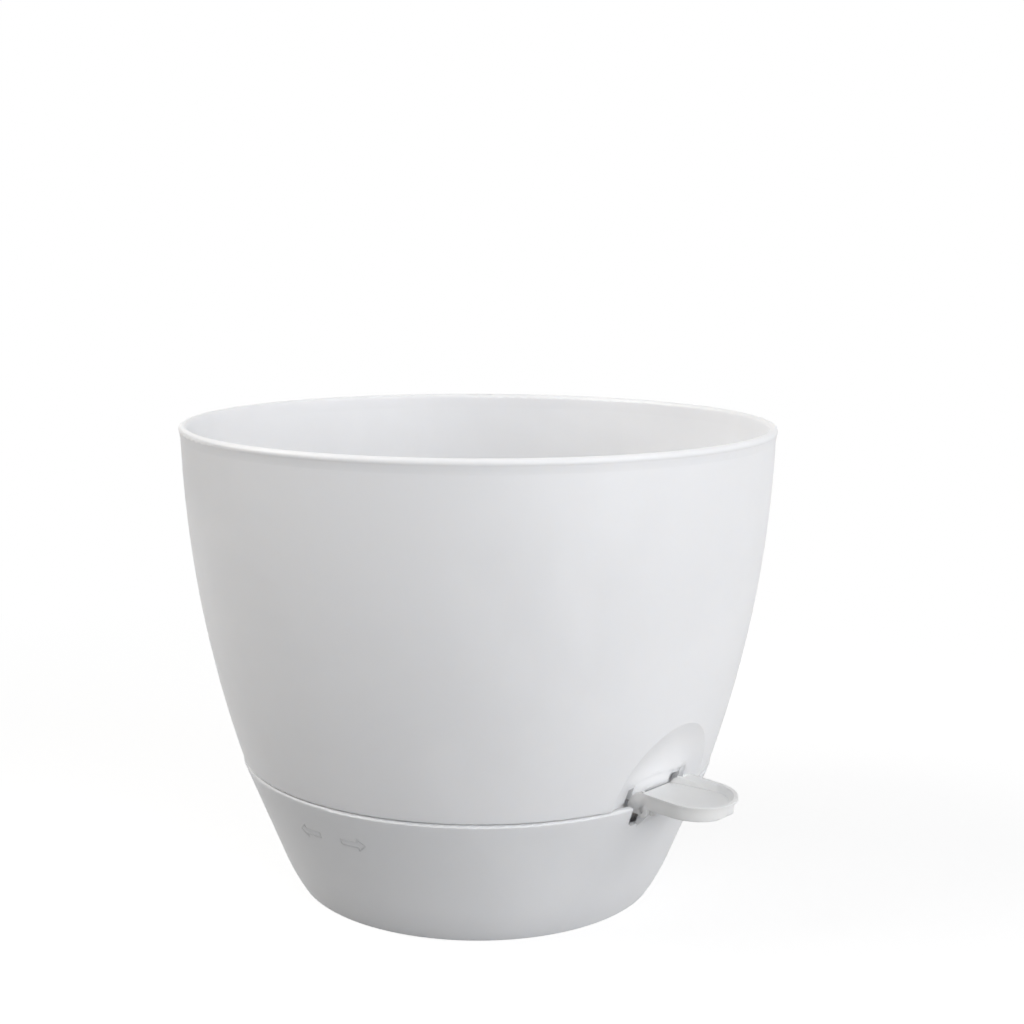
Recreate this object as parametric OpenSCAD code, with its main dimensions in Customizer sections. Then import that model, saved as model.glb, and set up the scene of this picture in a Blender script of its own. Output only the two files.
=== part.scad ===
// Self-watering planter: a pot that drops into a deep reservoir, with a fold-out filling tray.
// +Z is up, the origin is the centre of the underside, and the filling tray points along -Y.

/* [Pot] */
// Outer diameter of the rolled rim
rim_d = 254; // [230:1:290]
// Overall height of the planter
planter_h = 201.6; // [170:1:240]
// Thickness of the pot's wall
pot_wall = 2.8; // [2.2:0.1:3.6]
// How far the side bows out from a straight line
side_bow = 4.9; // [2:0.1:8]
// Radius of the rolled edge at the rim
lip_r = 1.8; // [1.4:0.1:2.4]
// How far the rolled edge stands out from the wall below it
lip_flare = 0.8; // [0.3:0.1:1.4]
// Height of the flare below the rolled edge
flare_h = 5; // [3:0.5:8]
// Length of the spigot that drops into the reservoir
spigot_l = 10; // [8:0.5:14]
// Thickness of the pot's floor
pot_floor_t = 2.6; // [2:0.1:4]
// Depth of the ribs under the pot's floor
floor_rib_h = 4; // [3:0.5:6]
// Number of ribs under the pot's floor
floor_rib_n = 8; // [6:1:12]
// Width of each drain slot
drain_w = 3.2; // [2:0.2:4]

/* [Reservoir] */
// Outer diameter of the reservoir at its rim
seam_d = 205.9; // [190:1:216]
// Height of the seam between the pot and the reservoir
seam_z = 57.5; // [52:0.5:70]
// Lean of the reservoir's side from upright, in degrees
side_lean = 22; // [16:0.5:25]
// Height where the straight side starts to curve in to the foot
foot_blend_h = 14.4; // [10:0.2:20]
// Radius of that curve
foot_curve_r = 80; // [50:1:120]
// Thickness of the reservoir's wall and floor
res_wall = 2.6; // [2:0.1:3.4]
// Width of the ring that the planter stands on
foot_ring_w = 6; // [4:0.5:10]
// Height of the hollow under the floor
foot_hollow_h = 2; // [1:0.2:3]

/* [Finger recess] */
// Height of the recess above the seam
recess_h = 32.2; // [28:0.2:36]
// Depth of the recess at the seam
recess_d = 9; // [8.4:0.1:10]
// Radius of the hollow, both ways
recess_r = 100; // [85:1:110]

/* [Filling tray] */
// Overall width of the tray's rim
tray_w = 32.8; // [28:0.2:35]
// Length of the tray from its hinge to its tip
tray_l = 32.1; // [29:0.1:34]
// Height of the tray's rim above the hinge
tray_h = 8.1; // [7.8:0.1:8.4]
// Droop of the open tray below level, in degrees
tray_droop = 3.8; // [1:0.1:6]
// Thickness of the tray's rim
tray_rim_t = 1.3; // [1:0.1:1.8]
// Overhang of the rim past the side
tray_overhang = 1.5; // [1:0.1:2]
// Thickness of the tray's sides
tray_side_t = 2.1; // [1.8:0.1:2.6]
// Thickness of the tray's floor
tray_floor_t = 1.4; // [1.1:0.1:1.6]
// Rise of the floor from the hinge to the tip, in degrees
tray_rise = 5.2; // [4:0.1:6]
// Radius of the round heel behind the hinge
heel_r = 6.9; // [6.4:0.1:7.2]
// Radius of the hinge pin
pin_r = 1.2; // [1:0.1:1.3]

/* [Wick basket] */
// Diameter of the basket's body at its top
basket_d = 66; // [50:1:74]
// Diameter of the basket at its foot
basket_foot_d = 50; // [36:1:56]
// Thickness of the basket's wall
basket_wall = 1.8; // [1.4:0.1:2.4]
// Width of the flange that hangs the basket in the floor
basket_flange_w = 6; // [4:0.5:8]
// Number of upright slots in the basket
basket_slot_n = 12; // [8:1:16]
// Width of those slots
basket_slot_w = 3; // [2:0.2:4]

/* [Fits] */
// Open seam between the pot and the reservoir's rim
seam_gap = 0.4; // [0.3:0.1:0.8]
// Gap round the spigot and round the basket
drop_gap = 0.5; // [0.4:0.1:0.8]
// Gap beside the hinge and under what rests on a seat
rest_gap = 0.3; // [0.3:0.05:0.5]
// Radial clearance of the turning hinge pin
pin_gap = 0.05; // [0.03:0.01:0.1]
// Radial clearance of the same pin in the tray's cheeks, where it is held
press_gap = 0.02; // [0.01:0.01:0.03]

/* [Hidden] */
$fn = 96;
white = [0.93, 0.93, 0.93];
warm_white = [0.94, 0.935, 0.92];
curve_fn = 720;
eps = 0.01;
// Longer than any half section of the tray or of the notch
far = 60;

// Seam
seam_r = seam_d / 2;
// The pot's foot stands in from the reservoir's rim by this much
seam_step = 0.5;
res_top = seam_z - seam_gap / 2;
pot_seam_z = seam_z + seam_gap / 2;
pot_seam_r = seam_r - seam_step;
rim_round = 0.8;

// Pot side: one arc from the seam to the foot of the flare
rim_r = rim_d / 2;
lip_z = planter_h - lip_r;
side_top_r = rim_r - lip_flare;
side_top_z = lip_z - flare_h;
side_dr = side_top_r - pot_seam_r;
side_dz = side_top_z - pot_seam_z;
side_chord = norm([side_dr, side_dz]);
side_r = side_chord * side_chord / (8 * side_bow) + side_bow / 2;
side_cx = (side_top_r + pot_seam_r) / 2 - (side_r - side_bow) * side_dz / side_chord;
side_cz = (side_top_z + pot_seam_z) / 2 + (side_r - side_bow) * side_dr / side_chord;
pot_lean = asin((side_cz - pot_seam_z) / side_r);
flare_r = (flare_h * flare_h + lip_flare * lip_flare) / (2 * lip_flare);
function pot_r(z) = side_cx + sqrt(side_r * side_r - (z - side_cz) * (z - side_cz));

// Reservoir side: a straight cone that runs into one arc at the foot
blend_r = seam_r - (res_top - foot_blend_h) * tan(side_lean);
foot_cx = blend_r - foot_curve_r * cos(side_lean);
foot_cz = foot_blend_h + foot_curve_r * sin(side_lean);
function cone_r(z, wall = 0) = seam_r - (res_top - z) * tan(side_lean) - wall / cos(side_lean);
base_r = foot_cx + sqrt(foot_curve_r * foot_curve_r - foot_cz * foot_cz);
foot_lean = asin(foot_cz / foot_curve_r);
res_floor_z = foot_hollow_h + res_wall;

// Pot floor
pot_base_z = pot_seam_z - spigot_l;
pot_floor_z = pot_base_z + pot_floor_t;
spigot_wall = 2.4;
neck_h = 6;
function spigot_r(z) = cone_r(z, res_wall) - drop_gap;

// Hinge of the filling tray, as [distance out from the centre, height]
hinge_inset = 0.75;
hinge_drop = 1.8;
hinge_u = seam_r - hinge_inset;
hinge_z = seam_z - hinge_drop;
knuckle_wall = 0.9;
knuckle_r = pin_r + knuckle_wall;

// Half widths across the tray and its hinge
cheek_inset = 0.6;
tray_side_w = tray_w / 2 - tray_overhang;
tray_in_w = tray_side_w - tray_side_t;
cheek_w = tray_side_w - cheek_inset;
tongue_w = tray_in_w - 0.4;
notch_w = tray_w / 2 + 1.8;
notch_out = sqrt(seam_r * seam_r - notch_w * notch_w);
notch_angle = atan(notch_w / notch_out);
pocket_w = tray_w / 2 + 2.8;

tray_tip_u = tray_l - tray_w / 2;
tray_floor_n = knuckle_r + rest_gap + tray_floor_t;
notch_z = hinge_z - heel_r;

// Finger recess: a ball that cuts the wall from the seam up to the top of the recess
recess_low = [seam_r - recess_d, seam_z];
recess_top = [pot_r(seam_z + recess_h), seam_z + recess_h];
recess_chord = norm(recess_top - recess_low);
recess_out = sqrt(recess_r * recess_r - recess_chord * recess_chord / 4);
recess_c = (recess_low + recess_top) / 2
    + recess_out / recess_chord
        * [recess_top[1] - recess_low[1], recess_low[0] - recess_top[0]];
pocket_r = heel_r + 3.3;

// Wick basket
basket_top_z = pot_floor_z + rest_gap;
basket_flange_t = 2;
basket_foot_gap = 2.5;
basket_foot_z = res_floor_z + basket_foot_gap;
basket_h = basket_top_z - basket_foot_z;
basket_hole_r = basket_d / 2 + drop_gap;

// Rounds the corner at the origin of a section whose foot is level and whose side leans out.
// The circle is a hair larger than the rounding, so that it crosses both sides cleanly.
module corner_off(r, lean = 0) {
    t = r * (1 - sin(lean)) / cos(lean);
    m = r / 3;
    hair = 0.001;
    difference() {
        polygon([
            [-t, -m],
            [m / cos(lean), -m],
            [t * sin(lean) + m * cos(lean), t * cos(lean) - m * sin(lean)],
            [-t, r],
        ]);
        translate([-t, r]) circle(r = r + hair);
    }
}

// Draws its children in the plane [out, up] and gives them a width across the planter
module across(half_w) {
    rotate([90, 0, -90]) translate([0, 0, -half_w]) linear_extrude(2 * half_w) children();
}

// Round bar across the planter at a place [out, up]
module bar(at, r, half_w) {
    translate([-half_w, -at[0], at[1]]) rotate([0, 90, 0]) cylinder(r = r, h = 2 * half_w);
}

// ---------------------------------------------------------------- pot

// Half section between the axis and the arc of the side, from z_low up to z_top
module side_section(z_low, z_top, wall = 0) {
    intersection() {
        translate([side_cx, side_cz]) circle(r = side_r - wall, $fn = curve_fn);
        translate([0, z_low]) square([rim_r, z_top - z_low]);
    }
}

// The same for the spigot, which follows the cone of the reservoir's inside
module spigot_section(z_low, z_top, wall = 0) {
    polygon([
        [0, z_low],
        [spigot_r(z_low) - wall, z_low],
        [spigot_r(z_top) - wall, z_top],
        [0, z_top],
    ]);
}

// Rolled edge on a flare that sweeps out from the side
module lip_section() {
    translate([rim_r - lip_r, lip_z]) circle(r = lip_r);
    difference() {
        polygon([
            [side_top_r - pot_wall, side_top_z - eps],
            [side_top_r, side_top_z - eps],
            [rim_r, lip_z],
            [rim_r - 2 * lip_r, lip_z],
        ]);
        translate([side_top_r + flare_r, side_top_z]) circle(r = flare_r, $fn = curve_fn);
    }
}

module pot_envelope() {
    side_section(pot_seam_z, lip_z);
    spigot_section(pot_base_z, pot_seam_z + eps);
}

// Hollow of the pot: the arc of the wall, necked in to the spigot above the floor
module pot_hollow() {
    neck_z = pot_seam_z + neck_h;
    side_section(neck_z, lip_z + eps, pot_wall);
    spigot_section(pot_floor_z, pot_seam_z, spigot_wall);
    polygon([
        [0, pot_seam_z - eps],
        [spigot_r(pot_seam_z) - spigot_wall, pot_seam_z - eps],
        [pot_r(neck_z) - pot_wall, neck_z + eps],
        [0, neck_z + eps],
    ]);
}

module pot_section() {
    difference() {
        pot_envelope();
        pot_hollow();
        square([basket_hole_r, pot_floor_z + eps]);
        translate([pot_seam_r, pot_seam_z]) corner_off(rim_round, pot_lean);
    }
    lip_section();
}

// What the finger recess and the swing of the tray's heel take out of the pot
module recess(wall = 0) {
    translate([0, -recess_c[0], recess_c[1]]) sphere(r = recess_r + wall, $fn = 240);
    bar([hinge_u, hinge_z], pocket_r + wall, pocket_w + wall);
}

// Slot with round ends, its length between the centres of the ends
module slot(length, width) {
    translate([-length / 2, -width / 2]) square([length, width]);
    for (end = [-1, 1]) translate([end * length / 2, 0]) circle(d = width);
}

// Two rings of drain slots between the basket and the spigot
module drain_slots() {
    web = 4;
    ring_in = basket_hole_r + basket_flange_w + web;
    ring_out = spigot_r(pot_base_z) - recess_d;
    slot_l = (ring_out - ring_in) / 2 - drain_w - web;
    for (ring = [0, 1]) {
        count = floor_rib_n * (ring + 2);
        r = ring_in + (ring + 0.5) * (ring_out - ring_in) / 2;
        for (i = [0:count - 1]) rotate((i + 0.5) * 360 / count)
            translate([r, 0]) slot(slot_l, drain_w);
    }
}

// Ribs that run out from a hub round the basket's hole
module floor_ribs() {
    rib_t = 2;
    rib_z = pot_base_z - floor_rib_h;
    hub_r = basket_hole_r + rib_t;
    translate([0, 0, rib_z]) linear_extrude(floor_rib_h + eps) difference() {
        union() {
            circle(r = hub_r);
            for (i = [0:floor_rib_n - 1]) rotate(i * 360 / floor_rib_n)
                translate([0, -rib_t / 2]) square([spigot_r(rib_z) - 1, rib_t]);
        }
        circle(r = basket_hole_r);
    }
}

module pot() {
    color(white) difference() {
        union() {
            rotate_extrude() pot_section();
            floor_ribs();
            intersection() {
                rotate_extrude() pot_envelope();
                recess(pot_wall);
            }
        }
        recess();
        translate([0, 0, pot_base_z - eps]) linear_extrude(pot_floor_t + 2 * eps) drain_slots();
    }
}

// ---------------------------------------------------------------- reservoir

// Half section of the reservoir filled to the axis, from z_low up to z_top
module reservoir_outline(z_low, z_top, wall = 0) {
    blend_z = foot_blend_h + wall * sin(side_lean);
    intersection() {
        translate([foot_cx, foot_cz]) circle(r = foot_curve_r - wall, $fn = curve_fn);
        translate([0, z_low]) square([seam_r, blend_z - z_low]);
    }
    polygon([
        [0, blend_z - eps],
        [cone_r(blend_z, wall), blend_z - eps],
        [cone_r(z_top, wall), z_top],
        [0, z_top],
    ]);
}

module reservoir_section() {
    difference() {
        reservoir_outline(0, res_top);
        reservoir_outline(res_floor_z, res_top + eps, res_wall);
        square([base_r - foot_ring_w, foot_hollow_h]);
        translate([seam_r, res_top]) mirror([0, 1]) corner_off(rim_round, -side_lean);
        translate([base_r, 0]) corner_off(rim_round, foot_lean);
    }
}

// Notch that the tray's cheeks swing through. Its sides stand along radii of the rim.
module tray_notch() {
    depth = 20;
    translate([0, 0, notch_z]) difference() {
        linear_extrude(far) difference() {
            polygon([[0, 0], [-2 * notch_w, -2 * notch_out], [2 * notch_w, -2 * notch_out]]);
            circle(r = seam_r - depth);
        }
        for (side = [-1, 1]) rotate(side * notch_angle) notch_corner(side);
    }
}

// What rounds one lower corner of the notch
module notch_corner(side) {
    corner_r = 2;
    hair = 0.001;
    rotate([90, 0, 0]) linear_extrude(2 * seam_r) difference() {
        translate([-side * corner_r / 4, corner_r / 4]) square(1.5 * corner_r, center = true);
        translate([-side * corner_r, corner_r]) circle(r = corner_r + hair);
    }
}

// Tongue of the wall that carries the hinge knuckle, with a stop face at its front
module hinge_tongue() {
    root_z = notch_z - res_wall / 2;
    root_out = sqrt(pow(cone_r(root_z), 2) - tongue_w * tongue_w);
    front = hinge_u + knuckle_r;
    rear = hinge_u - knuckle_r;
    across(tongue_w) {
        translate([hinge_u, hinge_z]) circle(r = knuckle_r);
        polygon([
            [root_out - res_wall / 2, root_z],
            [root_out, root_z],
            [front, hinge_z - knuckle_r],
            [front, hinge_z],
            [hinge_u, hinge_z],
            [rear, hinge_z - knuckle_r / 4],
            [rear - 0.5, hinge_z - knuckle_r],
        ]);
    }
}

module reservoir() {
    color(white) difference() {
        union() {
            difference() {
                rotate_extrude() reservoir_section();
                tray_notch();
            }
            hinge_tongue();
        }
        bar([hinge_u, hinge_z], pin_r + pin_gap, tongue_w + 1);
    }
}

// ---------------------------------------------------------------- filling tray
// Drawn about its hinge as [out, up], level, and then tilted by its droop.

module in_tray_frame() {
    translate([0, -hinge_u, hinge_z]) rotate([tray_droop, 0, 0]) children();
}

// Plan outline: a round tip and straight sides
module tray_plan(half_w, rear) {
    translate([0, -tray_tip_u]) circle(r = half_w);
    translate([-half_w, -tray_tip_u]) square([2 * half_w, tray_tip_u - rear]);
}

module tray_prism(half_w, rear, low, high) {
    translate([0, 0, low]) linear_extrude(high - low) tray_plan(half_w, rear);
}

function floor_n(u) = tray_floor_n + u * tan(tray_rise);

// Side view of the tray below its rim
module tray_side() {
    low_rear = knuckle_r - 1;
    low_tip = knuckle_r;
    tip = tray_tip_u + tray_side_w;
    front_r = 5;
    boss_r = knuckle_r + 0.7;
    difference() {
        polygon([
            [0, low_rear],
            [tip + 1, low_tip],
            [tip + 1, tray_h - eps],
            [0, tray_h - eps],
        ]);
        translate([tip, low_tip]) corner_off(front_r);
    }
    intersection() {
        circle(r = heel_r);
        translate([-heel_r, -knuckle_r]) square(heel_r + knuckle_r);
    }
    circle(r = boss_r);
}

// Side of the tray above or below its floor
module over_floor() {
    polygon([[-far, floor_n(-far)], [far, floor_n(far)], [far, far], [-far, far]]);
}

module under_floor() {
    translate([0, -tray_floor_t / cos(tray_rise)])
        polygon([[-far, -far], [far, -far], [far, floor_n(far)], [-far, floor_n(-far)]]);
}

// The cheeks stand in from the sides behind a line that leans out from the hinge
module cheek_relief() {
    // Angle of that line above the tray's length, in degrees
    lean = 57;
    top = tray_h - tray_rim_t;
    difference() {
        across(far) polygon([[-far, -far], [0, -far], [0, 0], [top / tan(lean), top], [-far, top]]);
        across(cheek_w) square(2 * far, center = true);
    }
}

// Rib under the floor that meets the front of the tongue and holds the open tray up
module stop_rib() {
    stop_gap = 0.45;
    stop_u = knuckle_r + stop_gap;
    stop_t = 1.4;
    stop_low = -0.75 * knuckle_r;
    across(tray_in_w + eps) translate([stop_u, stop_low])
        square([stop_t, floor_n(stop_u) - tray_floor_t - stop_low + eps]);
}

module filling_tray() {
    rim_rear = 1.5;
    color(warm_white) in_tray_frame() difference() {
        union() {
            difference() {
                intersection() {
                    tray_prism(tray_side_w, -far, -far, far);
                    across(far) tray_side();
                }
                intersection() {
                    tray_prism(tray_in_w, -far, -far, far);
                    across(far) under_floor();
                }
                cheek_relief();
            }
            tray_prism(tray_w / 2, rim_rear, tray_h - tray_rim_t, tray_h);
            stop_rib();
        }
        intersection() {
            tray_prism(tray_in_w, -far, -far, far);
            across(far) over_floor();
        }
        bar([0, 0], pin_r + press_gap, far);
    }
}

module hinge_pin() {
    end_gap = 0.1;
    color(warm_white) bar([hinge_u, hinge_z], pin_r, cheek_w - end_gap);
}

// ---------------------------------------------------------------- wick basket

module basket_section() {
    top_r = basket_d / 2;
    foot_r = basket_foot_d / 2;
    flange_z = basket_top_z + basket_flange_t;
    polygon([
        [0, basket_foot_z],
        [foot_r, basket_foot_z],
        [top_r, basket_top_z],
        [top_r + basket_flange_w, basket_top_z],
        [top_r + basket_flange_w, flange_z],
        [top_r - basket_wall, flange_z],
        [top_r - basket_wall, basket_top_z],
        [foot_r - basket_wall, basket_foot_z + basket_wall],
        [0, basket_foot_z + basket_wall],
    ]);
}

module basket_slots() {
    slot_h = basket_h - 20;
    start = basket_foot_d / 4;
    middle_z = basket_foot_z + basket_h / 2 - 2;
    for (i = [0:basket_slot_n - 1]) rotate(i * 360 / basket_slot_n)
        translate([0, -start, middle_z]) rotate([90, 0, 0])
            linear_extrude(basket_d / 2) rotate(90) slot(slot_h, basket_slot_w);
}

module basket_foot_holes() {
    hole_d = 5;
    count = 6;
    ring_r = basket_foot_d / 3.2;
    translate([0, 0, basket_foot_z - eps]) linear_extrude(basket_wall + 2 * eps) {
        circle(d = hole_d);
        for (i = [0:count - 1]) rotate(i * 360 / count) translate([ring_r, 0]) circle(d = hole_d);
    }
}

module wick_basket() {
    color(white) difference() {
        rotate_extrude() basket_section();
        basket_slots();
        basket_foot_holes();
    }
}

reservoir();
pot();
filling_tray();
hinge_pin();
wick_basket();
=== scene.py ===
# %% [markdown]
# # Self watering planter
# The planter is five moulded pieces in white plastic: a round pot with a rolled rim, the deep
# reservoir it drops into, a small filling tray that folds out of a finger recess at the seam,
# the tray's hinge pin, and a slotted wick basket that hangs in the pot's floor.
# The solids come ready made and packed, so this lesson is about finish: how to soften the edges
# of moulded plastic, how to give white a surface, and how to light white against white.

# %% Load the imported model
import math

import bpy
from mathutils import Matrix, Vector


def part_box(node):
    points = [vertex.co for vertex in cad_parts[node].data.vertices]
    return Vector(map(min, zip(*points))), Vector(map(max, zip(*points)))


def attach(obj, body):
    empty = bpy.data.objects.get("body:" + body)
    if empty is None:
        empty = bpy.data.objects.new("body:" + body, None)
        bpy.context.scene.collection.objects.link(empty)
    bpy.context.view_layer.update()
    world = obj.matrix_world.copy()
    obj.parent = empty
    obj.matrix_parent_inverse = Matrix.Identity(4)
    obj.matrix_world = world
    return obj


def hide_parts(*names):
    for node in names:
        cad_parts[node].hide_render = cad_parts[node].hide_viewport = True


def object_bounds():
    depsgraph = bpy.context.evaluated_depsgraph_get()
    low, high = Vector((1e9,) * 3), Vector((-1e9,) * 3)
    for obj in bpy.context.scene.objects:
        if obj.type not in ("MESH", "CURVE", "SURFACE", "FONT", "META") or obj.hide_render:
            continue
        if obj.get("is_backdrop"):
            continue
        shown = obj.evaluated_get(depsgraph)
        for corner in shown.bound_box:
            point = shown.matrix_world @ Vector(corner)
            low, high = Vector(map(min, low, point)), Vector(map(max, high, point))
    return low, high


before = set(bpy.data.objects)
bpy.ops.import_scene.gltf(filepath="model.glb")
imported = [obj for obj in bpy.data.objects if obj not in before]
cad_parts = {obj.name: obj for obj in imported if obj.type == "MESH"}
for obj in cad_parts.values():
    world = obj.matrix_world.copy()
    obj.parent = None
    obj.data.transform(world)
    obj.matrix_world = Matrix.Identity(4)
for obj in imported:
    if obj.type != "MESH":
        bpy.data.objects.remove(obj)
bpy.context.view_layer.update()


def box_lists():
    low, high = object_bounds()
    return [list(low), list(high)]


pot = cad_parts["pot"]
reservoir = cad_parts["reservoir"]
filling_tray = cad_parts["filling_tray"]
hinge_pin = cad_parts["hinge_pin"]
wick_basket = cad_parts["wick_basket"]
for name, node in sorted(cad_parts.items()):
    print(f"{name}: {len(node.data.polygons)} faces")

# %% [markdown]
# ## Where the seam and the tray are
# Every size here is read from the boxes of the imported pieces, so the finish stays in place when
# the planter changes. Millimetres are easier to think in, so one value turns them into metres.

# %% Read the places that the finish needs
MM = 0.001
rim_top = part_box("pot")[1].z
rim_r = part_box("pot")[1].x
seam_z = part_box("reservoir")[1].z
seam_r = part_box("reservoir")[1].x
tray_tip_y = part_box("filling_tray")[0].y
print(f"rim {rim_r / MM:.1f} mm at {rim_top / MM:.1f} mm, seam {seam_r / MM:.1f} mm at {seam_z / MM:.1f} mm")
print(f"tray reaches {-tray_tip_y / MM:.1f} mm out")

# %% [markdown]
# ## Node groups
# Several finishes share the same effects, so each effect is a shader node group with named
# inputs and outputs. A group is built once and placed in every material with its own values.
# The helper below makes the group, its sockets and its two end nodes.

# %% Helper that starts a node group
def start_group(name, inputs, outputs):
    group = bpy.data.node_groups.new(name, "ShaderNodeTree")
    for label, kind, value in inputs:
        socket = group.interface.new_socket(label, in_out="INPUT", socket_type=kind)
        socket.default_value = value
    for label, kind in outputs:
        group.interface.new_socket(label, in_out="OUTPUT", socket_type=kind)
    entry = group.nodes.new("NodeGroupInput")
    exit_ = group.nodes.new("NodeGroupOutput")
    return group, entry, exit_


def add(tree, kind, **settings):
    node = tree.nodes.new(kind)
    for key, value in settings.items():
        setattr(node, key, value)
    return node


FLOAT = "NodeSocketFloat"
COLOR = "NodeSocketColor"
VECTOR = "NodeSocketVector"
print("group helper ready")

# %% [markdown]
# ## Moulded grain
# A steel mould for white planters is finished with a fine spark texture, which keeps fingerprints
# and scratches from showing. It could be modelled with a displaced mesh, but the grain is a few
# tenths of a millimetre, far below any sensible mesh, so two octaves of noise feed a bump instead.

# %% Build the grain group
def make_grain_group():
    group, entry, exit_ = start_group(
        "moulded grain",
        [
            ("Grain per metre", FLOAT, 2400.0),
            ("Orange peel per metre", FLOAT, 220.0),
            ("Orange peel", FLOAT, 0.35),
        ],
        [("Height", FLOAT), ("Rough", FLOAT)],
    )
    place = add(group, "ShaderNodeTexCoord")
    fine = add(group, "ShaderNodeTexNoise", noise_dimensions="3D")
    fine.inputs["Detail"].default_value = 2.0
    fine.inputs["Roughness"].default_value = 0.6
    wide = add(group, "ShaderNodeTexNoise", noise_dimensions="3D")
    wide.inputs["Detail"].default_value = 1.0
    blend = add(group, "ShaderNodeMix", data_type="FLOAT")
    link = group.links.new
    link(place.outputs["Object"], fine.inputs["Vector"])
    link(place.outputs["Object"], wide.inputs["Vector"])
    link(entry.outputs["Grain per metre"], fine.inputs["Scale"])
    link(entry.outputs["Orange peel per metre"], wide.inputs["Scale"])
    link(entry.outputs["Orange peel"], blend.inputs[0])
    link(fine.outputs["Fac"], blend.inputs[2])
    link(wide.outputs["Fac"], blend.inputs[3])
    link(blend.outputs[0], exit_.inputs["Height"])
    link(wide.outputs["Fac"], exit_.inputs["Rough"])
    return group


grain_group = make_grain_group()
print("made group:", grain_group.name)

# %% [markdown]
# ## Soft tone
# No moulding is one even white. Pigment swirls a little as the plastic flows, so the colour
# drifts by a percent or two over a few centimetres. A picture could hold that drift, but noise
# that lives in the object's own space needs no unwrapping and wraps round every edge.

# %% Build the tone group
def make_tone_group():
    group, entry, exit_ = start_group(
        "flow tone",
        [
            ("Light", COLOR, (0.9, 0.9, 0.9, 1)),
            ("Deep", COLOR, (0.86, 0.86, 0.86, 1)),
            ("Swirls per metre", FLOAT, 14.0),
        ],
        [("Color", COLOR)],
    )
    place = add(group, "ShaderNodeTexCoord")
    swirl = add(group, "ShaderNodeTexNoise", noise_dimensions="3D")
    swirl.inputs["Detail"].default_value = 3.0
    swirl.inputs["Distortion"].default_value = 0.6
    ramp = add(group, "ShaderNodeMapRange", interpolation_type="SMOOTHSTEP")
    ramp.inputs["From Min"].default_value = 0.35
    ramp.inputs["From Max"].default_value = 0.65
    mix = add(group, "ShaderNodeMix", data_type="RGBA")
    link = group.links.new
    link(place.outputs["Object"], swirl.inputs["Vector"])
    link(entry.outputs["Swirls per metre"], swirl.inputs["Scale"])
    link(swirl.outputs["Fac"], ramp.inputs["Value"])
    link(ramp.outputs["Result"], mix.inputs[0])
    link(entry.outputs["Deep"], mix.inputs[6])
    link(entry.outputs["Light"], mix.inputs[7])
    link(mix.outputs[2], exit_.inputs["Color"])
    return group


tone_group = make_tone_group()
print("made group:", tone_group.name)

# %% [markdown]
# ## The plastic
# Polypropylene with white pigment has a satin gloss: a broad soft highlight and no clear
# reflection. The Principled shader gives that with a middling roughness. The roughness follows
# the same slow noise as the bump, so the highlight breaks up a little as it does on a moulding.
# A little light also enters the plastic and comes out again within a few millimetres.

# %% Material maker
PLASTIC_IOR = 1.49
GLOW_SHARE = 0.6
GLOW_DEPTH = 0.004
GLOW_COLOUR = (1.0, 0.95, 0.9)
ROUGH_DRIFT = 0.06
GRAIN_STRENGTH = 0.35


def moulded_plastic(name, light, deep, roughness, grain_depth):
    material = bpy.data.materials.new(name)
    material.use_nodes = True
    tree = material.node_tree
    tree.nodes.clear()
    out = add(tree, "ShaderNodeOutputMaterial")
    shader = add(tree, "ShaderNodeBsdfPrincipled")
    shader.inputs["IOR"].default_value = PLASTIC_IOR
    shader.inputs["Subsurface Weight"].default_value = GLOW_SHARE
    shader.inputs["Subsurface Radius"].default_value = GLOW_COLOUR
    shader.inputs["Subsurface Scale"].default_value = GLOW_DEPTH
    tone = add(tree, "ShaderNodeGroup", node_tree=tone_group)
    tone.inputs["Light"].default_value = (*light, 1)
    tone.inputs["Deep"].default_value = (*deep, 1)
    surface = add(tree, "ShaderNodeGroup", node_tree=grain_group)
    spread = add(tree, "ShaderNodeMapRange")
    spread.inputs["To Min"].default_value = roughness - ROUGH_DRIFT
    spread.inputs["To Max"].default_value = roughness + ROUGH_DRIFT
    bump = add(tree, "ShaderNodeBump")
    bump.inputs["Strength"].default_value = GRAIN_STRENGTH
    bump.inputs["Distance"].default_value = grain_depth
    link = tree.links.new
    link(tone.outputs["Color"], shader.inputs["Base Color"])
    link(surface.outputs["Rough"], spread.inputs["Value"])
    link(spread.outputs["Result"], shader.inputs["Roughness"])
    link(surface.outputs["Height"], bump.inputs["Height"])
    link(bump.outputs["Normal"], shader.inputs["Normal"])
    link(shader.outputs["BSDF"], out.inputs["Surface"])
    return material


shell_white = moulded_plastic("shell white", (0.865, 0.868, 0.88), (0.84, 0.843, 0.855), 0.42, 0.00004)
# The tray and its pin are the shell's plastic painted a little lighter. This is painted light that stands in
# for light the tray's shaded skirt doesn't get.
tray_white_painted_lighter = moulded_plastic("tray white painted lighter", (0.925, 0.92, 0.905), (0.905, 0.9, 0.885), 0.38, 0.00003)
basket_white = moulded_plastic("basket white", (0.83, 0.83, 0.83), (0.8, 0.8, 0.8), 0.55, 0.00006)
print("made materials:", shell_white.name, tray_white_painted_lighter.name, basket_white.name)

# %% [markdown]
# ## Softened edges
# No edge of a moulding is a knife edge, because plastic doesn't fill the last tenth of a
# millimetre of a mould. A bevel modifier rounds only the edges that turn sharply. Shading smooth
# everywhere else hides the facets of the round walls.

# %% Round the edges and set the finishes
def soften(node, width, angle):
    for polygon in node.data.polygons:
        polygon.use_smooth = True
    bevel = node.modifiers.new("soft edges", "BEVEL")
    bevel.width = width
    bevel.segments = 3
    bevel.limit_method = "ANGLE"
    bevel.angle_limit = math.radians(angle)
    bevel.use_clamp_overlap = True
    bevel.harden_normals = True
    bevel.miter_outer = "MITER_ARC"


def dress(node, material, width, angle=28):
    node.data.materials.clear()
    node.data.materials.append(material)
    soften(node, width, angle)
    print(f"{node.name}: {material.name}, edges rounded by {width / MM:.2f} mm")


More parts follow.
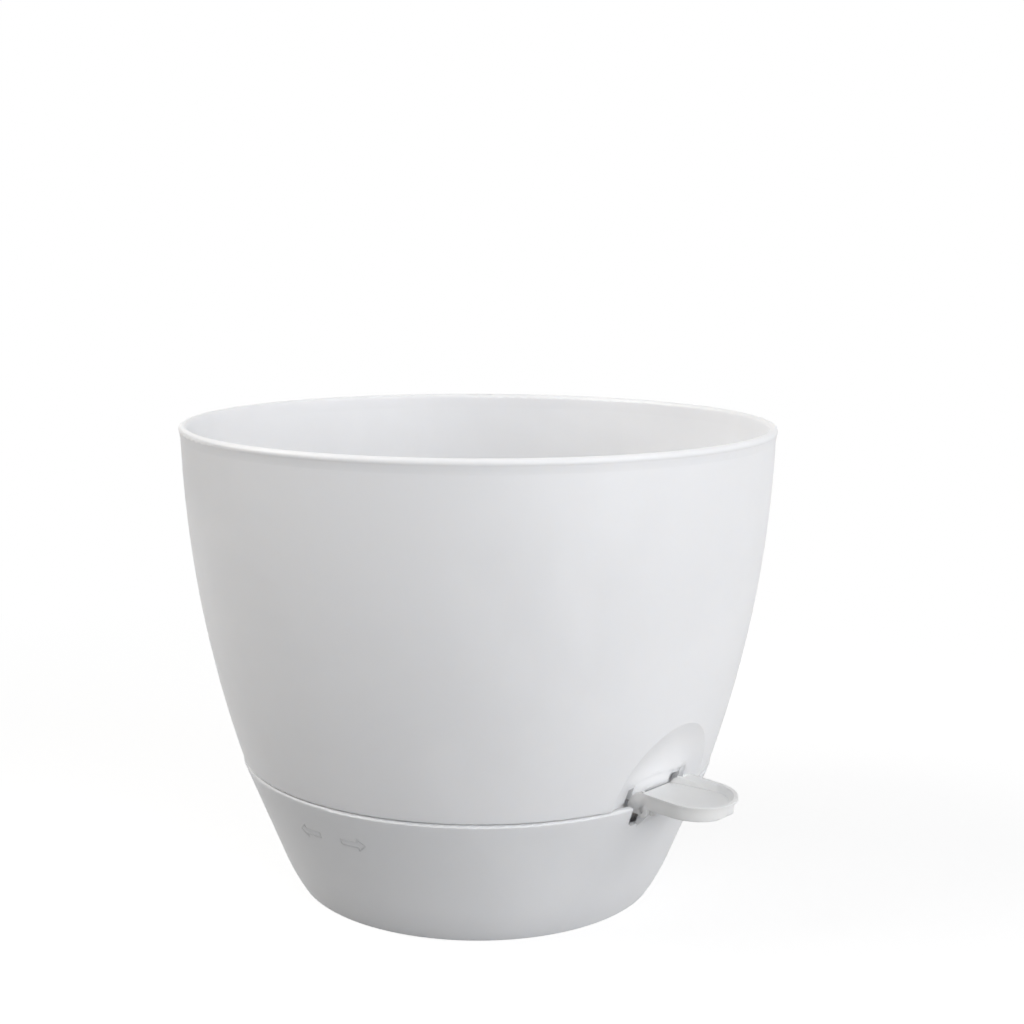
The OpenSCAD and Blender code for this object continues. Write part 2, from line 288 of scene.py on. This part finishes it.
dress(pot, shell_white, 0.3 * MM, angle=50)
dress(reservoir, shell_white, 0.25 * MM, angle=50)
dress(hinge_pin, tray_white_painted_lighter, 0.1 * MM)
dress(wick_basket, basket_white, 0.2 * MM)

# %% [markdown]
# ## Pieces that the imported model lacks
# The tray's finer shape, the wall round its cheeks and the arrows are new meshes. Each one is
# made from its corners and faces in the same few lines.

# %% Helper that makes a new piece
def new_piece(name, verts, faces):
    mesh = bpy.data.meshes.new(name)
    mesh.from_pydata(verts, [], faces)
    mesh.update()
    piece = bpy.data.objects.new(name, mesh)
    bpy.context.collection.objects.link(piece)
    return piece


print("piece helper ready")

# %% [markdown]
# ## A finer filling tray
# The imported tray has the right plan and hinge, but a thick rim and a dish with upright walls.
# The piece that stands for it starts from the same mesh, taken into the tray's own frame: how
# far out from the hinge, and how far up. There the rim gets thinner, the mouth of the dish opens
# out to the rim, the tip gets a squarer foot, and the open tray droops a little less.

# %% Reshape a copy of the tray
DROOP = math.radians(3.8)
FINE_DROOP = math.radians(2.4)
TRAY_TOP = 8.1 * MM
RIM_FOOT = 6.8 * MM
FINE_RIM_FOOT = 7.25 * MM
RIM_REAR = 1.5 * MM
DISH_HALF = 12.8 * MM
MOUTH_HALF = 14.7 * MM
TIP_MIDDLE = 15.7 * MM
SKIRT_TIP = 30.6 * MM
SKIRT_REAR_FOOT = 1.1 * MM
SKIRT_TIP_FOOT = 2.1 * MM
FOOT_ROUND = 5.0 * MM
FINE_FOOT_ROUND = 1.5 * MM
NEAR = 0.03 * MM

pin_low, pin_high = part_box("hinge_pin")
hinge = (pin_low + pin_high) / 2


def tray_foot(out, rounding):
    """Height of the skirt's foot, which ends in a rounding at the tip."""
    level = SKIRT_REAR_FOOT + (SKIRT_TIP_FOOT - SKIRT_REAR_FOOT) * out / SKIRT_TIP
    past = min(out - (SKIRT_TIP - rounding), rounding)
    if past <= 0:
        return level
    return SKIRT_TIP_FOOT + rounding - math.sqrt(rounding**2 - past**2)


def finer(across, out, up):
    """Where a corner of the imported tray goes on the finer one."""
    past = max(0, out - TIP_MIDDLE)
    half = math.hypot(across, past)
    rimmed = out > RIM_REAR - NEAR
    if rimmed and abs(up - RIM_FOOT) < NEAR:
        up = FINE_RIM_FOOT
    elif rimmed and abs(up - TRAY_TOP) < NEAR and abs(half - DISH_HALF) < NEAR:
        across *= MOUTH_HALF / half
        out += past * (MOUTH_HALF / half - 1)
    elif out > SKIRT_TIP - FOOT_ROUND and abs(up - tray_foot(out, FOOT_ROUND)) < NEAR:
        up = tray_foot(out, FINE_FOOT_ROUND)
    return across, out, up


def fine_tray():
    source = filling_tray.data
    verts = []
    moved = 0
    for vert in source.vertices:
        place = filling_tray.matrix_world @ vert.co - hinge
        out = -place.y * math.cos(DROOP) - place.z * math.sin(DROOP)
        up = -place.y * math.sin(DROOP) + place.z * math.cos(DROOP)
        across, fine_out, fine_up = finer(place.x, out, up)
        moved += (across, fine_out, fine_up) != (place.x, out, up)
        level = fine_out * math.cos(FINE_DROOP) + fine_up * math.sin(FINE_DROOP)
        rise = fine_up * math.cos(FINE_DROOP) - fine_out * math.sin(FINE_DROOP)
        verts.append(hinge + Vector((across, -level, rise)))
    faces = [list(face.vertices) for face in source.polygons]
    piece = new_piece("fine_tray", verts, faces)
    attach(piece, "tray")
    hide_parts("filling_tray")
    print(f"fine_tray: {moved} of {len(verts)} corners moved")
    return piece


dress(fine_tray(), tray_white_painted_lighter, 0.15 * MM)

# %% [markdown]
# ## Wall of the recess round the cheeks
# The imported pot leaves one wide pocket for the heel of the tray. On the real pot only the two
# cheeks swing through it, and round them the wall of the recess runs on down to the dish. Five
# plates close those gaps: one between the cheeks, one outside each, and a brow over each, which
# ends above the path of the folding rim. Their faces lie on the ball that shapes the recess, a
# hair proud of it, and slip under the wall at their tops. The brows sit a little deeper, so
# that the folded tray stays clear of them.

# %% Plates on the ball of the recess
BALL_R = 100 * MM
BALL_OUT = 188.97 * MM
BALL_UP = 26.34 * MM
PLATE_HALF = 12.3 * MM
SIDE_INNER = 17.0 * MM
SIDE_OUTER = 19.4 * MM
BROW_LOW = 63.1 * MM
BROW_LAP = 0.3 * MM
BROW_SUNK = 0.25 * MM
PLATE_LOW = 57.6 * MM
PLATE_HIGH = 66.6 * MM
PLATE_T = 2.2 * MM
PLATE_EDGE = 0.1 * MM
PROUD = 0.05 * MM
SLIP_UNDER = 0.15 * MM
FADE_H = 1.6 * MM
ROWS = 16
COLUMNS = 16


def ball_point(across, up, deeper):
    """A point on the ball of the recess, or so much deeper in the wall."""
    radius = BALL_R + deeper
    out = BALL_OUT - math.sqrt(radius**2 - across**2 - (up - BALL_UP) ** 2)
    return Vector((across, -out, up))


def recess_plate(name, start, end, low, sunk):
    verts = []
    for thickness in (0, PLATE_T):
        for i in range(ROWS + 1):
            up = low + (PLATE_HIGH - low) * i / ROWS
            fade = max(0, (up - PLATE_HIGH) / FADE_H + 1)
            deeper = thickness - PROUD + sunk + SLIP_UNDER * fade
            for j in range(COLUMNS + 1):
                across = start + (end - start) * j / COLUMNS
                verts.append(ball_point(across, up, deeper))
    width = COLUMNS + 1
    back = (ROWS + 1) * width
    faces = []
    for i in range(ROWS):
        for j in range(COLUMNS):
            a = i * width + j
            b = a + 1
            c = b + width
            d = a + width
            faces.append((a, b, c, d))
            faces.append((d + back, c + back, b + back, a + back))
    edge = list(range(width))
    edge += [i * width + COLUMNS for i in range(1, ROWS + 1)]
    edge += [ROWS * width + j for j in range(COLUMNS - 1, -1, -1)]
    edge += [i * width for i in range(ROWS - 1, 0, -1)]
    for a, b in zip(edge, edge[1:] + edge[:1]):
        faces.append((b, a, a + back, b + back))
    piece = new_piece(name, verts, faces)
    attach(piece, "planter")
    print(f"{name}: {len(faces)} faces")
    return piece


brow_start = PLATE_HALF - BROW_LAP
brow_end = SIDE_INNER + BROW_LAP
for name, start, end, low, sunk in (
    ("recess_plate", -PLATE_HALF, PLATE_HALF, PLATE_LOW, 0),
    ("recess_side_left", -SIDE_OUTER, -SIDE_INNER, PLATE_LOW, 0),
    ("recess_side_right", SIDE_INNER, SIDE_OUTER, PLATE_LOW, 0),
    ("recess_brow_left", -brow_end, -brow_start, BROW_LOW, BROW_SUNK),
    ("recess_brow_right", brow_start, brow_end, BROW_LOW, BROW_SUNK),
):
    dress(recess_plate(name, start, end, low, sunk), shell_white, PLATE_EDGE, angle=50)

# %% [markdown]
# ## Turn arrows
# The reservoir carries two hollow arrows in low relief, which point the two ways that it is
# turned when it is taken off. They could be a bump in the material, but relief that is real mesh
# also shows in profile. Each arrow is one closed outline, drawn flat
# as (along, up) and then wrapped onto the leaning wall as a low raised band.

# %% Draw the arrow outline, flat
ARROW_L = 11.6 * MM
HEAD_L = 3.4 * MM
HEAD_H = 5.5 * MM
SHAFT_H = 2.3 * MM
STEP = 0.8 * MM
SHARPEST_MITRE = 0.4


def arrow_outline(way):
    neck = ARROW_L - HEAD_L
    half_head = HEAD_H / 2
    half_shaft = SHAFT_H / 2
    corners = [
        (0, -half_shaft), (neck, -half_shaft), (neck, -half_head), (ARROW_L, 0),
        (neck, half_head), (neck, half_shaft), (0, half_shaft),
    ]
    corners = [Vector((way * along, up)) for along, up in corners]
    return corners if way > 0 else corners[::-1]


def sampled(corners):
    """Points along the closed outline, each with the mitred direction that widens the line."""
    points = []
    count = len(corners)
    for i, corner in enumerate(corners):
        before = corners[i - 1]
        after = corners[(i + 1) % count]
        into = (corner - before).normalized()
        out = (after - corner).normalized()
        side = Vector((out.y, -out.x))
        mitre = (Vector((into.y, -into.x)) + side).normalized()
        points.append((corner, mitre / max(SHARPEST_MITRE, mitre.dot(side))))
        steps = max(1, round((after - corner).length / STEP))
        for k in range(1, steps):
            points.append((corner.lerp(after, k / steps), side))
    return points


print("points round one arrow:", len(sampled(arrow_outline(1))))

# %% [markdown]
# ## Arrows on the wall
# The flat outline turns into a band with a foot, a top and two slopes. A level ray finds the wall
# under each point, so the band follows the round, leaning reservoir and stands in it slightly.

# %% Wrap a flat band onto the wall of the reservoir
LINE_W = 0.45 * MM
FOOT_SHARE = 0.5
TOP_SHARE = 0.3
RELIEF = 0.1 * MM
SUNK = 0.1 * MM
ARROW_Z = 42.7 * MM
ARROW_RIGHT = math.radians(-80.6)
ARROW_LEFT = math.radians(-87.1)


def wall_point(azimuth, height):
    """Where a level ray towards the axis meets the reservoir, and the way that the wall faces."""
    outward = Vector((math.sin(azimuth), -math.cos(azimuth), 0))
    start = outward * 2 * seam_r + Vector((0, 0, height))
    hit, place, facing, _ = reservoir.ray_cast(start, -outward)
    return place, facing


def relief_arrow(name, azimuth, way):
    middle, _ = wall_point(azimuth, ARROW_Z)
    radius = Vector((middle.x, middle.y)).length
    profile = [(-FOOT_SHARE, -SUNK), (-TOP_SHARE, RELIEF), (TOP_SHARE, RELIEF), (FOOT_SHARE, -SUNK)]
    verts = []
    faces = []
    points = sampled(arrow_outline(way))
    for point, widen in points:
        for share, lift in profile:
            flat = point + widen * share * LINE_W
            place, facing = wall_point(azimuth + flat.x / radius, ARROW_Z + flat.y)
            verts.append(place + facing * lift)
    ring = len(profile)
    for i in range(len(points)):
        j = (i + 1) % len(points)
        for k in range(ring):
            m = (k + 1) % ring
            faces.append((i * ring + k, i * ring + m, j * ring + m, j * ring + k))
    piece = new_piece(name, verts, faces)
    piece.data.materials.append(shell_white)
    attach(piece, "base")
    print(f"{name}: {len(faces)} faces at {math.degrees(azimuth):.1f} degrees")
    return piece


relief_arrow("turn_arrow_right", ARROW_RIGHT, 1)
relief_arrow("turn_arrow_left", ARROW_LEFT, -1)

# %% [markdown]
# ## Pure white for the eye, soft light for the planter
# The floor and the world look pure white to the camera and to reflections, and still give the
# planter only a soft light. Both need to know which rays see them directly. This switch is 1 for
# camera, glossy and transmission rays and 0 for the rest.

# %% Shared switch: what the camera and the reflections see
def seen_directly(tree):
    path = add(tree, "ShaderNodeLightPath")
    first = add(tree, "ShaderNodeMath", operation="MAXIMUM")
    both = add(tree, "ShaderNodeMath", operation="MAXIMUM")
    tree.links.new(path.outputs["Is Camera Ray"], first.inputs[0])
    tree.links.new(path.outputs["Is Glossy Ray"], first.inputs[1])
    tree.links.new(first.outputs[0], both.inputs[0])
    tree.links.new(path.outputs["Is Transmission Ray"], both.inputs[1])
    return both.outputs[0]


print("switch ready")

# %% [markdown]
# ## Floor
# A white object on white needs its shadow to hold it down, so the floor is a real surface that
# takes light, and only far from the planter does it fade into plain white. The mask is a radial
# gradient in the floor's own space.

# %% Floor
FLOOR_SIZE = 12.0
FADE_NEAR = 0.22
FADE_FAR = 0.6
FLOOR_GREY = 0.28
FLOOR_LIFT = 0.8


def floor_material():
    material = bpy.data.materials.new("studio floor")
    material.use_nodes = True
    tree = material.node_tree
    tree.nodes.clear()
    link = tree.links.new
    out = add(tree, "ShaderNodeOutputMaterial")
    matte = add(tree, "ShaderNodeBsdfDiffuse")
    matte.inputs["Color"].default_value = (*[FLOOR_GREY] * 3, 1)
    lift = add(tree, "ShaderNodeEmission")
    lift.inputs["Color"].default_value = (1, 1, 1, 1)
    near = add(tree, "ShaderNodeAddShader")
    white = add(tree, "ShaderNodeEmission")
    white.inputs["Color"].default_value = (1, 1, 1, 1)
    place = add(tree, "ShaderNodeTexCoord")
    length = add(tree, "ShaderNodeVectorMath", operation="LENGTH")
    fade = add(tree, "ShaderNodeMapRange", interpolation_type="SMOOTHSTEP")
    fade.inputs["From Min"].default_value = FADE_NEAR
    fade.inputs["From Max"].default_value = FADE_FAR
    seen = seen_directly(tree)
    strength = add(tree, "ShaderNodeMath", operation="MULTIPLY")
    strength.inputs[1].default_value = FLOOR_LIFT
    masked = add(tree, "ShaderNodeMath", operation="MULTIPLY")
    mix = add(tree, "ShaderNodeMixShader")
    link(place.outputs["Object"], length.inputs[0])
    link(length.outputs["Value"], fade.inputs["Value"])
    link(seen, strength.inputs[0])
    link(strength.outputs[0], lift.inputs["Strength"])
    link(matte.outputs[0], near.inputs[0])
    link(lift.outputs[0], near.inputs[1])
    link(fade.outputs["Result"], masked.inputs[0])
    link(seen, masked.inputs[1])
    link(masked.outputs[0], mix.inputs[0])
    link(near.outputs[0], mix.inputs[1])
    link(white.outputs[0], mix.inputs[2])
    link(mix.outputs[0], out.inputs["Surface"])
    return material


half = FLOOR_SIZE / 2
floor_mesh = bpy.data.meshes.new("floor")
floor_corners = [(-half, -half, 0), (half, -half, 0), (half, half, 0), (-half, half, 0)]
floor_mesh.from_pydata(floor_corners, [], [(0, 1, 2, 3)])
floor = bpy.data.objects.new("floor", floor_mesh)
bpy.context.collection.objects.link(floor)
floor.data.materials.append(floor_material())
floor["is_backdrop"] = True
print("floor:", FLOOR_SIZE, "m square")

# %% [markdown]
# ## World
# The world is a white tent. Its background is as dim as its light should be for the planter's
# surfaces, and plain white for whatever looks at it directly.

# %% World
WORLD_LIGHT = 0.32

world = bpy.data.worlds.new("white tent")
world.use_nodes = True
bpy.context.scene.world = world
world.node_tree.nodes.clear()
world_out = add(world.node_tree, "ShaderNodeOutputWorld")
world_white = add(world.node_tree, "ShaderNodeBackground")
world_white.inputs["Color"].default_value = (1, 1, 1, 1)
world_level = add(world.node_tree, "ShaderNodeMapRange")
world_level.inputs["To Min"].default_value = WORLD_LIGHT
world_level.inputs["To Max"].default_value = 1.0
world.node_tree.links.new(seen_directly(world.node_tree), world_level.inputs["Value"])
world.node_tree.links.new(world_level.outputs["Result"], world_white.inputs["Strength"])
world.node_tree.links.new(world_white.outputs[0], world_out.inputs["Surface"])
print("world light:", WORLD_LIGHT)

# %% [markdown]
# ## Camera
# The camera stands to the left of the tray, a little above the rim, and looks slightly down.
# A small shift puts the planter low and left of centre, as it would be framed with room for
# the plant above it.

# %% Camera
CAMERA_AZIMUTH = math.radians(-47)
CAMERA_DISTANCE = 0.68583
CAMERA_HEIGHT = 0.27574
CAMERA_PITCH = math.radians(8.8)
CAMERA_ROLL = 0.0036

camera_data = bpy.data.cameras.new("camera")
camera_data.sensor_width = 36
camera_data.lens = 56.29
camera_data.shift_x = 0.0332
camera_data.shift_y = -0.01775
camera = bpy.data.objects.new("camera", camera_data)
bpy.context.collection.objects.link(camera)
bpy.context.scene.camera = camera
turn = Matrix.Rotation(CAMERA_AZIMUTH, 4, "Z")
tilt = Matrix.Rotation(math.pi / 2 - CAMERA_PITCH, 4, "X")
roll = Matrix.Rotation(CAMERA_ROLL, 4, "Z")
camera.matrix_world = turn @ Matrix.Translation((0, -CAMERA_DISTANCE, CAMERA_HEIGHT)) @ tilt @ roll
print("camera at", [round(v, 3) for v in camera.matrix_world.translation])

# %% [markdown]
# ## Dark card
# Seen at a flat angle, even satin plastic mirrors what stands beside it. A white room would
# light up the left edge of the planter and lose it against the background, so a dark card
# stands on that side, hidden from the camera, as a studio would place it.

# %% Dark card on the left
CARD_L = 1.6
CARD_H = 0.42
CARD_AWAY = 0.75
CARD_SIDE = -100
CARD_GREY = 0.15

card_data = bpy.data.materials.new("dark card")
card_data.use_nodes = True
card_paint = card_data.node_tree.nodes["Principled BSDF"]
card_paint.inputs["Base Color"].default_value = (CARD_GREY, CARD_GREY, CARD_GREY, 1)
card_paint.inputs["Roughness"].default_value = 1.0
card_half = CARD_L / 2
card_mesh = bpy.data.meshes.new("dark card")
card_corners = [(-card_half, 0, 0), (card_half, 0, 0), (card_half, 0, CARD_H), (-card_half, 0, CARD_H)]
card_mesh.from_pydata(card_corners, [], [(0, 1, 2, 3)])
card = bpy.data.objects.new("dark_card", card_mesh)
bpy.context.collection.objects.link(card)
card.data.materials.append(card_data)
card_turn = CAMERA_AZIMUTH + math.radians(CARD_SIDE)
card.location = (CARD_AWAY * math.sin(card_turn), -CARD_AWAY * math.cos(card_turn), 0)
card.rotation_euler = (0, 0, card_turn)
card.visible_camera = False
card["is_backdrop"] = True
print("dark card:", CARD_L, "by", CARD_H, "m")

# %% [markdown]
# ## Lamps
# White on white is drawn by its gradients. A large soft key lamp stands low on the right of the
# camera, so that the planter's side runs from nearly white on the right to a light grey on the
# left. Two weak lamps lift the right side and the rim, and two warm lamps on the left, one of
# them higher, reach over the rim into the pot. Each lamp is set by the light that it gives a
# white surface facing it, because that stays the same when the lamp moves.

# %% Lamps
def soft_lamp(name, side, elevation, distance, size, level, tint):
    """A round lamp at so many degrees to the right of the camera, aimed at the planter."""
    data = bpy.data.lights.new(name, "AREA")
    data.shape = "DISK"
    data.size = size
    data.energy = level * (math.pi * distance) ** 2
    data.color = tint
    lamp = bpy.data.objects.new(name, data)
    bpy.context.collection.objects.link(lamp)
    azimuth = CAMERA_AZIMUTH + math.radians(side)
    rise = math.radians(elevation)
    away = Vector((math.sin(azimuth) * math.cos(rise), -math.cos(azimuth) * math.cos(rise), math.sin(rise)))
    lamp.location = away * distance + Vector((0, 0, rim_top / 2))
    lamp.rotation_mode = "QUATERNION"
    lamp.rotation_quaternion = away.to_track_quat("Z", "Y")
    print(f"{name}: {data.energy:.1f} W, {size} m across")


COOL = (0.97, 0.98, 1.0)
WARM = (1.0, 0.98, 0.95)

soft_lamp("key lamp", side=35, elevation=12, distance=2.0, size=1.2, level=0.5, tint=COOL)
soft_lamp("right lamp", side=75, elevation=10, distance=2.0, size=1.2, level=0.1, tint=COOL)
soft_lamp("high lamp", side=60, elevation=35, distance=2.0, size=0.9, level=0.14, tint=COOL)
soft_lamp("left lamp", side=-100, elevation=30, distance=2.0, size=1.2, level=0.36, tint=WARM)
soft_lamp("far left lamp", side=-75, elevation=45, distance=2.0, size=1.2, level=0.38, tint=WARM)

# %% [markdown]
# ## Finish
# The view is left plain, so that a colour renders about as it is written. The last line notes
# the size of the dressed planter.

# %% Size note
bpy.context.scene.view_settings.view_transform = "Standard"
print("dressed:", [[round(v, 4) for v in corner] for corner in box_lists()])
